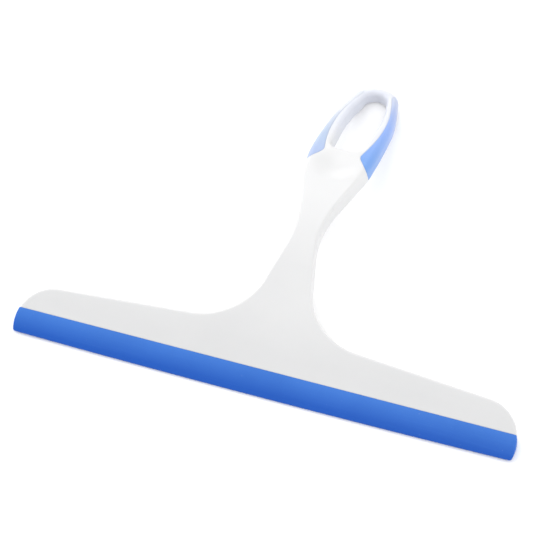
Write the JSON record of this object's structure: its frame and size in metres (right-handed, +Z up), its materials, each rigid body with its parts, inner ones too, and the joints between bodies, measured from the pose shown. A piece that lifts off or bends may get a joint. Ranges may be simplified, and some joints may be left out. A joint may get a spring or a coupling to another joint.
{
  "type": "window squeegee",
  "caption": "Hand squeegee with a wide T head, a soft wiping blade whose lip flexes, a narrow bent neck and a loop handle with soft side grips; it hangs by the loop.",
  "frame": {"origin": "bottom centre of the box round the squeegee as it lies face up on a table, on its blade tip and the end of its loop", "axes": "+X along the blade, to the right as the smooth front is seen with the handle up; +Y from the blade towards the hanging loop; +Z up, out of the front face"},
  "size_m": [0.2472, 0.198, 0.0286],
  "materials": {
    "white_plastic": "satin gloss, moulded",
    "blade_soft": "soft satin",
    "grip_soft": "soft satin"
  },
  "bodies": {
    "handle": {"frame": "white_plastic", "blade_root": "blade_soft", "grip_left": "grip_soft", "grip_right": "grip_soft"},
    "lip": {"blade_lip": "blade_soft"}
  },
  "joints": [
    {"name": "lip_bend", "type": "hinge", "parent": "handle", "child": "lip", "pos_m": [0, -0.0927, 0.00244], "axis": [1, 0, 0], "range_deg": [-40, 40], "stiffness_Nm_per_rad": 0.3}
  ]
}
